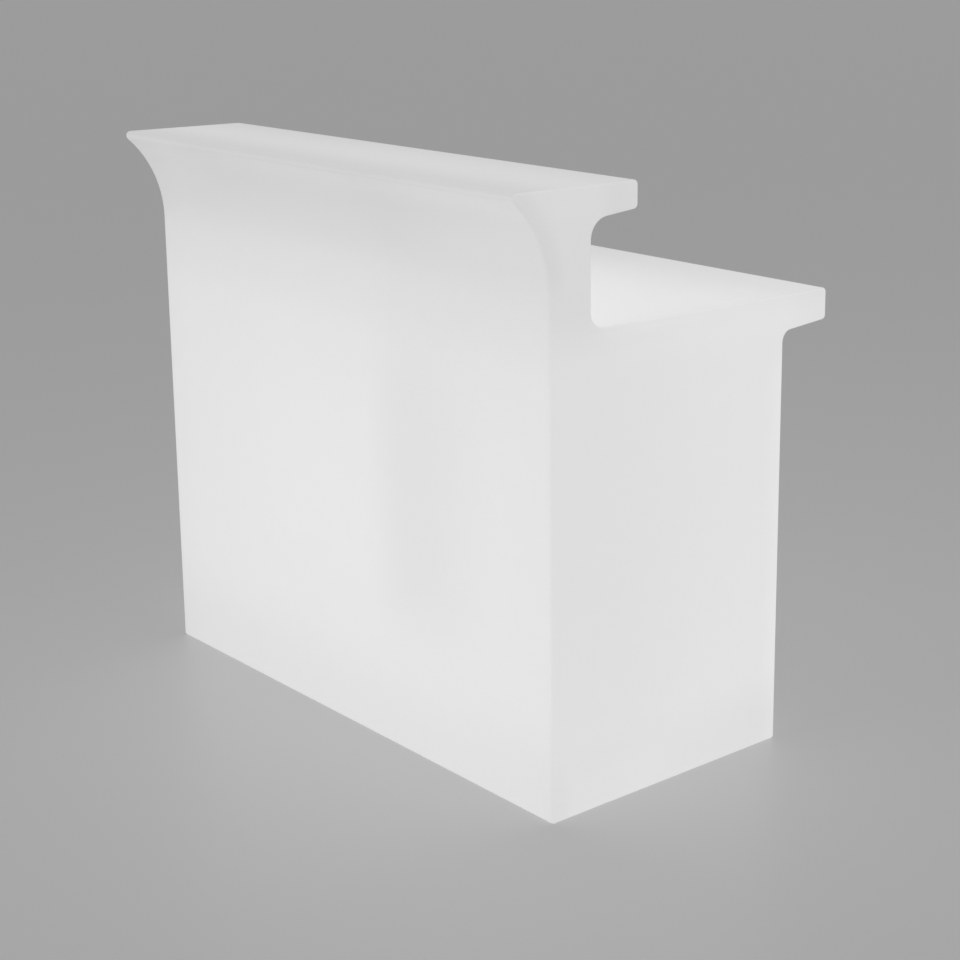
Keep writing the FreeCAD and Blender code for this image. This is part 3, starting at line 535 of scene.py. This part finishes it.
# Screws and nut: stainless pan-head screws with a rolled thread and a hexagon socket. Four hold
# each cover to the body and two hold its bracket, and a zinc plated nut holds the lamp holder.
SCREW_SIDES = 24
SCREW_TIP = 0.0005
SCREW_RINGS_PER_TURN = 5
SCREW_THREAD_SHARE = 0.55
SCREW_THREAD_END = (-0.0003, -0.0010)
HEAD_UNDER_ROUND = 0.0003
HEAD_ROUND_SHARE = 0.45
SOCKET_HALF = 0.0016
SOCKET_CORNER = SOCKET_HALF / math.cos(math.radians(30))
TO_STAFF = (Vector((0, 0, 1)), Vector((1, 0, 0)))
TO_GUESTS = (Vector((1, 0, 0)), Vector((0, 0, 1)))


def machined_steel(name, dull, bright):
    material, shader, sheet = begin(name)
    here, _ = place_of(sheet)
    patch = clouds(sheet, here, 0.0025)
    sheet.feed(shader["Base Color"], patch.mix(dull, bright))
    sheet.feed(shader["Roughness"], 0.20 + patch * 0.22)
    sheet.feed(shader["Normal"], relief(sheet, clouds(sheet, here, 0.0005), 0.00002))
    shader["Metallic"].default_value = 1.0
    return material


def socket_screws(name, places, across, shank, length, head, head_height, pitch):
    """Screws with the underside of the head at each place and the thread below it."""
    floor = head_height / 2

    def cuts(turn, radius, height):
        if same(radius, shank):
            runs = eased(height, *SCREW_THREAD_END)
            return SCREW_THREAD_SHARE * pitch * runs * (1 - ridge(height - turn * pitch, pitch))
        if same(radius, SOCKET_CORNER):
            return SOCKET_CORNER - SOCKET_HALF / math.cos(math.radians(turn * 360 % 60 - 30))
        return 0.0

    return turned(name, [
        (0.0, -length, 0, 1),
        (shank - SCREW_TIP, -length, 0, 1),
        (shank, SCREW_TIP - length, 0, round(SCREW_RINGS_PER_TURN * length / pitch)),
        (shank, 0.0, 0, 1),
        (head, 0.0, HEAD_UNDER_ROUND, 1),
        (head, head_height, HEAD_ROUND_SHARE * head_height, 1),
        (SOCKET_CORNER, head_height, 0, 1),
        (SOCKET_CORNER, head_height - floor, 0, 1),
        (0.0, head_height - floor, 0, 1),
    ], SCREW_SIDES, places, cuts, across)


COVER_SCREW = {
    "shank": 0.0025, "length": 0.017, "head": 0.0046, "head_height": 0.0026, "pitch": 0.0008}
BRACKET_SCREW = {
    "shank": 0.00195, "length": 0.007, "head": 0.0036, "head_height": 0.0022, "pitch": 0.0007}
screw_steel = machined_steel("stainless screw", (0.55, 0.55, 0.56, 1), (0.67, 0.67, 0.68, 1))
nut_steel = machined_steel("zinc plated nut", (0.48, 0.51, 0.54, 1), (0.61, 0.63, 0.66, 1))
for side in ("left", "centre", "right"):
    dress(nut_steel, "holder_nut_" + side)
    low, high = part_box("cover_screws_" + side)
    head = COVER_SCREW["head"]
    seat = high.y - COVER_SCREW["head_height"]
    places = [Vector((x, seat, z)) for x in (low.x + head, high.x - head)
              for z in (low.z + head, high.z - head)]
    screws = socket_screws("threaded_cover_screws_" + side, places, TO_STAFF, **COVER_SCREW)
    stand_for(screws, "cover_screws_" + side, "light_" + side, screw_steel)
    low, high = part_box("bracket_screws_" + side)
    head = BRACKET_SCREW["head"]
    seat = low.y + BRACKET_SCREW["head_height"]
    places = [Vector((low.x + head, seat, z)) for z in (low.z + head, high.z - head)]
    screws = socket_screws("threaded_bracket_screws_" + side, places, TO_GUESTS, **BRACKET_SCREW)
    stand_for(screws, "bracket_screws_" + side, "light_" + side, screw_steel)


# Lamp holder: a white thermoplastic socket with upright grip ribs round its barrel and a nickel
# screw shell in its bore. It is fixed by its hollow nipple and the nut under the bracket.
HOLDER_RADIUS = 0.0175
HOLDER_BASE_RADIUS = 0.0200
HOLDER_BASE_HEIGHT = 0.006
HOLDER_HEIGHT = 0.046
HOLDER_ROUND = 0.0015
HOLDER_BORE = 0.0136
HOLDER_FLOOR = 0.022
NIPPLE_RADIUS = 0.005
NIPPLE_BORE = 0.0032
NIPPLE_LENGTH = 0.009
BARREL_RINGS = 18
RIB_COUNT = 30
RIB_DEPTH = 0.0009
RIB_FOOT = (0.0075, 0.0100)
RIB_HEAD = (0.0425, 0.0400)
LAMP_PITCH = 0.0036
SHELL_RINGS = 54
SHELL_GROOVE = 0.0008
SHELL_FOOT = (0.0235, 0.0255)
SHELL_HEAD = (0.0445, 0.0425)


def lamp_thread(turn, height):
    """0 on the crest and 1 in the root of the bulb's thread, from the bulb's tip up."""
    return 0.5 + 0.5 * math.cos(2 * math.pi * (height / LAMP_PITCH - turn))


def holder_cuts(turn, radius, height):
    if radius > HOLDER_RADIUS - 0.0001:
        barrel = eased(height, *RIB_FOOT) * eased(height, *RIB_HEAD)
        return RIB_DEPTH * barrel * ridge(turn, 1 / RIB_COUNT)
    if height > HOLDER_FLOOR and same(radius, HOLDER_BORE):
        shell = eased(height, *SHELL_FOOT) * eased(height, *SHELL_HEAD)
        return -SHELL_GROOVE * shell * (1 - lamp_thread(turn, height - HOLDER_FLOOR))
    return 0.0


def holder_plastic(name, foot):
    material, shader, sheet = begin(name)
    here, (x, y, z) = place_of(sheet)
    out = ((x - foot.x) ** 2 + (y - foot.y) ** 2) ** 0.5
    up = z - foot.z
    shell = (out.smooth(HOLDER_BORE + 0.0011, HOLDER_BORE + 0.0010)
             * up.smooth(HOLDER_FLOOR, HOLDER_FLOOR + 0.0002)
             * up.smooth(HOLDER_HEIGHT - 0.0010, HOLDER_HEIGHT - 0.0012))
    grain = clouds(sheet, here, 0.0008, 3.0)
    shine = clouds(sheet, here, 0.02)
    plastic = shine.mix((0.72, 0.72, 0.69, 1), (0.79, 0.79, 0.76, 1))
    nickel = shine.mix((0.55, 0.54, 0.50, 1), (0.66, 0.64, 0.60, 1))
    sheet.feed(shader["Base Color"], shell.mix(plastic, nickel))
    sheet.feed(shader["Metallic"], shell)
    sheet.feed(shader["Roughness"], 0.33 + grain * 0.15 - shell * 0.08)
    sheet.feed(shader["Normal"], relief(sheet, grain, 0.00004))
    return material


for side in ("left", "centre", "right"):
    low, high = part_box("lamp_holder_" + side)
    foot = Vector(((low.x + high.x) / 2, (low.y + high.y) / 2, low.z + NIPPLE_LENGTH))
    holder = turned("ribbed_holder_" + side, [
        (NIPPLE_BORE, -NIPPLE_LENGTH, 0, 1),
        (NIPPLE_RADIUS, -NIPPLE_LENGTH, 0, 1),
        (NIPPLE_RADIUS, 0.0, 0, 1),
        (HOLDER_BASE_RADIUS, 0.0, HOLDER_ROUND, 1),
        (HOLDER_BASE_RADIUS, HOLDER_BASE_HEIGHT, HOLDER_ROUND, 1),
        (HOLDER_RADIUS, HOLDER_BASE_HEIGHT, 0, BARREL_RINGS),
        (HOLDER_RADIUS, HOLDER_HEIGHT, HOLDER_ROUND, 1),
        (HOLDER_BORE, HOLDER_HEIGHT, 0, SHELL_RINGS),
        (HOLDER_BORE, HOLDER_FLOOR, 0, 1),
        (NIPPLE_BORE, HOLDER_FLOOR, 0, 1),
    ], 4 * RIB_COUNT, [foot], holder_cuts)
    plastic = holder_plastic("holder plastic " + side, foot)
    stand_for(holder, "lamp_holder_" + side, "light_" + side, plastic)


# Bulb: a nickel screw cap with a rolled thread, a black glass ring round its raised end contact, a
# white plastic housing that flares to the rim, and an opal globe that the light fills evenly.
CONTACT_RADIUS = 0.0044
CONTACT_ROUND = 0.0006
CONTACT_STEP = 0.0012
GLASS_RADIUS = 0.0098
GLASS_EDGE = 0.0034
CRIMP_RADIUS = 0.0106
CRIMP_EDGE = 0.0038
CRIMP_ROUND = 0.0003
CAP_RADIUS = 0.0132
CAP_START = 0.0054
CAP_ROUND = 0.0012
CAP_HEIGHT = 0.0250
CAP_RINGS = 64
CAP_THREAD_DEPTH = 0.0010
CAP_THREAD_FOOT = (0.0056, 0.0080)
CAP_THREAD_HEAD = (0.0236, 0.0212)
NECK_RADIUS = 0.0145
NECK_ROUND = 0.0004
NECK_HEIGHT = 0.0280
SHOULDER_ROUND = 0.012
RIM_RADIUS = 0.02544
GLOBE_RADIUS = 0.030
GLOBE_WALL = 0.0015
GLOBE_RIM_DROP = 0.015898
GLOBE_STEPS = 24
BULB_SIDES = 72


def cap_cuts(turn, radius, height):
    if height > CAP_HEIGHT or not same(radius, CAP_RADIUS):
        return 0.0
    threaded = eased(height, *CAP_THREAD_FOOT) * eased(height, *CAP_THREAD_HEAD)
    return CAP_THREAD_DEPTH * threaded * lamp_thread(turn, height)


def cap_and_housing(name, tip):
    material, shader, sheet = begin(name)
    here, (x, y, z) = place_of(sheet)
    out = ((x - tip.x) ** 2 + (y - tip.y) ** 2) ** 0.5
    up = z - tip.z
    cap = up.smooth(CAP_HEIGHT + 0.0002, CAP_HEIGHT - 0.0002)
    glass = (out.smooth(CONTACT_RADIUS + 0.0001, CONTACT_RADIUS + 0.0003)
             * out.smooth(GLASS_RADIUS + 0.0001, GLASS_RADIUS - 0.0001)
             * up.smooth(0.0050, 0.0040))
    wear = clouds(sheet, here, 0.003)
    nickel = wear.mix((0.58, 0.56, 0.52, 1), (0.70, 0.68, 0.64, 1))
    housing = clouds(sheet, here, 0.02).mix((0.76, 0.76, 0.75, 1), (0.82, 0.82, 0.81, 1))
    sheet.feed(shader["Base Color"], glass.mix(cap.mix(housing, nickel), (0.012, 0.012, 0.014, 1)))
    sheet.feed(shader["Metallic"], cap * (1 - glass))
    sheet.feed(shader["Roughness"], 0.26 + wear * 0.12)
    sheet.feed(shader["Normal"], relief(sheet, wear, 0.00002))
    return material


def globe_outline():
    """Down the inside from the top to the rim and up the outside again, about the centre."""
    inner = GLOBE_RADIUS - GLOBE_WALL
    outline = []
    for radius in (inner, GLOBE_RADIUS):
        rim = -math.asin(GLOBE_RIM_DROP / radius)
        arc = [(0.0, radius, 0, 1)]
        for step in range(1, GLOBE_STEPS + 1):
            turn = math.pi / 2 + (rim - math.pi / 2) * step / GLOBE_STEPS
            arc.append((radius * math.cos(turn), radius * math.sin(turn), 0, 1))
        outline += arc if radius == inner else arc[::-1]
    return outline


def opal_globe(name, low, high):
    material, shader, sheet = begin(name)
    here, (x, y, z) = place_of(sheet)
    even = clouds(sheet, here, 0.012)
    light = 0.50 + z.smooth(low.z - 0.004, (low.z + high.z) / 2) * 0.20 + even * 0.02
    sheet.feed(shader["Base Color"], even.mix((0.60, 0.60, 0.59, 1), (0.64, 0.64, 0.63, 1)))
    sheet.feed(shader["Roughness"], 0.24 + even * 0.08)
    sheet.feed(shader["Emission Color"], light.mix((0, 0, 0, 1), (1, 0.985, 0.955, 1)))
    shader["Emission Strength"].default_value = 1.0
    return material


for side in ("left", "centre", "right"):
    low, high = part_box("bulb_base_" + side)
    tip = Vector(((low.x + high.x) / 2, (low.y + high.y) / 2, low.z))
    bulb = turned("threaded_bulb_" + side, [
        (0.0, 0.0, 0, 1),
        (CONTACT_RADIUS, 0.0, CONTACT_ROUND, 1),
        (CONTACT_RADIUS, CONTACT_STEP, 0, 1),
        (GLASS_RADIUS, GLASS_EDGE, 0, 1),
        (CRIMP_RADIUS, CRIMP_EDGE, CRIMP_ROUND, 1),
        (CAP_RADIUS, CAP_START, CAP_ROUND, CAP_RINGS),
        (CAP_RADIUS, CAP_HEIGHT, 0, 1),
        (NECK_RADIUS, CAP_HEIGHT, NECK_ROUND, 1),
        (NECK_RADIUS, NECK_HEIGHT, SHOULDER_ROUND, 1),
        (RIM_RADIUS, high.z - low.z, 0, 1),
        (0.0, high.z - low.z, 0, 1),
    ], BULB_SIDES, [tip], cap_cuts)
    finish = cap_and_housing("cap and housing " + side, tip)
    stand_for(bulb, "bulb_base_" + side, "bulb_" + side, finish)
    low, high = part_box("bulb_globe_" + side)
    centre = Vector((tip.x, tip.y, high.z - GLOBE_RADIUS))
    globe = turned("opal_globe_" + side, globe_outline(), BULB_SIDES, [centre], lambda *_: 0.0)
    opal = opal_globe("opal " + side, low, high)
    stand_for(globe, "bulb_globe_" + side, "bulb_" + side, opal)


# Light cover: a round injection-moulded plate of opal plastic, screwed over each service hole with
# a rubber gasket under its rim. Its glow is painted on as emission: the lamp behind it as a
# painted soft bright patch, the ribs and spigot on its back as faint painted shades, and painted
# shade round its outer rim.
RIB_HALF = 0.0012
RIB_INNER = 0.030
SPIGOT_INNER = 0.0760
SPIGOT_OUTER = 0.0798
SOFT_EDGE = 0.001
COVER_GLOW = 0.28


def opal_cover(side):
    centre = middle_of("light_cover_" + side)
    lamp = middle_of("bulb_globe_" + side)
    material, shader, sheet = begin("opal cover " + side)
    here, (x, y, z) = place_of(sheet)
    across = x - centre.x
    up = z - centre.z
    out = (across ** 2 + up ** 2) ** 0.5
    # Painted pool of light from the lamp behind the cover
    patch = 0.0012 / ((x - lamp.x) ** 2 + (z - lamp.z) ** 2 + 0.0045)
    shade = (out.smooth(SPIGOT_INNER - SOFT_EDGE, SPIGOT_INNER + SOFT_EDGE)
             * out.smooth(SPIGOT_OUTER + SOFT_EDGE, SPIGOT_OUTER - SOFT_EDGE))
    for angle in (30, 90, 150):
        turn = math.radians(angle)
        aside = abs(across * math.sin(turn) - up * math.cos(turn))
        rib = (aside.smooth(2 * RIB_HALF, 0.5 * RIB_HALF)
               * out.smooth(RIB_INNER - SOFT_EDGE, RIB_INNER + SOFT_EDGE)
               * out.smooth(SPIGOT_OUTER, SPIGOT_INNER))
        shade = shade.larger(rib)
    grain = clouds(sheet, here, 0.0010, 3.0)
    # Painted glow, less at the painted shades of ribs, spigot and outer rim
    glow = (COVER_GLOW + patch - shade * 0.035 - out.smooth(0.086, 0.104) * 0.06
            - out.smooth(0.1035, 0.1045) * 0.18 + (grain - 0.5) * 0.01)
    tint = clouds(sheet, here, 0.04)
    sheet.feed(shader["Base Color"], tint.mix((0.72, 0.72, 0.71, 1), (0.77, 0.77, 0.76, 1)))
    sheet.feed(shader["Roughness"], 0.30 + grain * 0.12)
    sheet.feed(shader["Emission Color"], glow.mix((0, 0, 0, 1), (1, 1, 1, 1)))
    sheet.feed(shader["Normal"], relief(sheet, grain * 0.4 + out.ridges(0.004) * 0.15, 0.00015))
    shader["Emission Strength"].default_value = 1.0
    return material


gasket_rubber = rubber("gasket rubber", 0.3)
for side in ("left", "centre", "right"):
    dress(gasket_rubber, "cover_gasket_" + side)
    dress(opal_cover(side), "light_cover_" + side)


# Shelf: a board of white compact laminate that lies loose on the two ledges. Its faces have a
# pearl texture and faint scuffs where goods slide, and its machined edge shows the core's plies.
def compact_laminate():
    low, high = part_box("storage_shelf")
    material, shader, sheet = begin("compact laminate")
    here, (x, y, z) = place_of(sheet)
    pearl = clouds(sheet, here, 0.0012)
    drawn = sheet.node(
        "ShaderNodeVectorMath", {"operation": "MULTIPLY"}, {0: here, 1: (9.0, 1.0, 1.0)})
    scuffs = clouds(sheet, drawn, 0.03, 4.0).smooth(0.50, 0.80)
    edge = z.smooth(low.z + 0.0006, low.z + 0.0012) * z.smooth(high.z - 0.0006, high.z - 0.0012)
    plies = (z + (clouds(sheet, here, 0.02) - 0.5) * 0.0004).ridges(0.0013)
    face = scuffs.mix((0.86, 0.86, 0.85, 1), (0.83, 0.83, 0.82, 1))
    core = plies.mix((0.50, 0.495, 0.485, 1), (0.66, 0.655, 0.64, 1))
    sheet.feed(shader["Base Color"], edge.mix(face, core))
    sheet.feed(shader["Roughness"], 0.36 + scuffs * 0.14 + edge * 0.15)
    sheet.feed(shader["Normal"], relief(sheet, pearl * (1 - edge) + plies * edge * 0.6, 0.00012))
    return material


dress(compact_laminate(), "storage_shelf")


# Floor: a plain pale sheet with a satin finish, wide enough to fill every view. It lies a hair
# below the base, so that the two never share a plane.
FLOOR_HALF = 60.0
FLOOR_DROP = 0.0003


def floor_sheet():
    mesh = bpy.data.meshes.new("floor")
    signs = [(-1, -1), (1, -1), (1, 1), (-1, 1)]
    corners = [(x * FLOOR_HALF, y * FLOOR_HALF, -FLOOR_DROP) for x, y in signs]
    mesh.from_pydata(corners, [], [(0, 1, 2, 3)])
    floor = bpy.data.objects.new("floor", mesh)
    bpy.context.scene.collection.objects.link(floor)
    material, shader, _ = begin("pale floor")
    shader["Base Color"].default_value = (0.78, 0.78, 0.78, 1)
    shader["Roughness"].default_value = 0.42
    mesh.materials.append(material)


floor_sheet()


# Studio light: an even soft sky, dim enough for the body's own glow to show, and one wide soft
# lamp overhead that gives the edges a little form.
SKY_STRENGTH = 0.40
OVERHEAD_SIZE = 4.0
OVERHEAD_POWER = 12.0
OVERHEAD_PLACE = (0.6, 0.3, 3.6)

world = bpy.data.worlds.new("studio")
world.use_nodes = True
world.node_tree.nodes["Background"].inputs["Color"].default_value = (1, 1, 1, 1)
world.node_tree.nodes["Background"].inputs["Strength"].default_value = SKY_STRENGTH
bpy.context.scene.world = world

overhead = bpy.data.objects.new("overhead", bpy.data.lights.new("overhead", "AREA"))
bpy.context.scene.collection.objects.link(overhead)
overhead.data.shape = "SQUARE"
overhead.data.size = OVERHEAD_SIZE
overhead.data.energy = OVERHEAD_POWER
overhead.location = OVERHEAD_PLACE


# Camera: at standing height off the bar's right front corner, looking down a little along the bar.
CAMERA_PLACE = (2.9570, -2.2839, 1.5116)
CAMERA_YAW = 47.833
CAMERA_PITCH = 13.428
CAMERA_ROLL = 0.181
SENSOR = 36.0
FRAME_PIXELS = 960
FOCAL_PIXELS = 1934.275
CENTRE_PIXEL = (609.935, 385.63)

camera = bpy.data.objects.new("camera", bpy.data.cameras.new("camera"))
bpy.context.scene.collection.objects.link(camera)
camera.location = CAMERA_PLACE
aim = Euler((math.radians(90 - CAMERA_PITCH), 0, math.radians(CAMERA_YAW)), "XYZ").to_matrix()
roll = Euler((0, 0, math.radians(CAMERA_ROLL)), "XYZ").to_matrix()
camera.rotation_euler = (aim @ roll).to_euler("XYZ")
camera.data.sensor_width = SENSOR
camera.data.lens = FOCAL_PIXELS / FRAME_PIXELS * SENSOR
camera.data.shift_x = (FRAME_PIXELS / 2 - CENTRE_PIXEL[0]) / FRAME_PIXELS
camera.data.shift_y = (CENTRE_PIXEL[1] - FRAME_PIXELS / 2) / FRAME_PIXELS
bpy.context.scene.camera = camera
bpy.context.scene.view_settings.view_transform = "Standard"
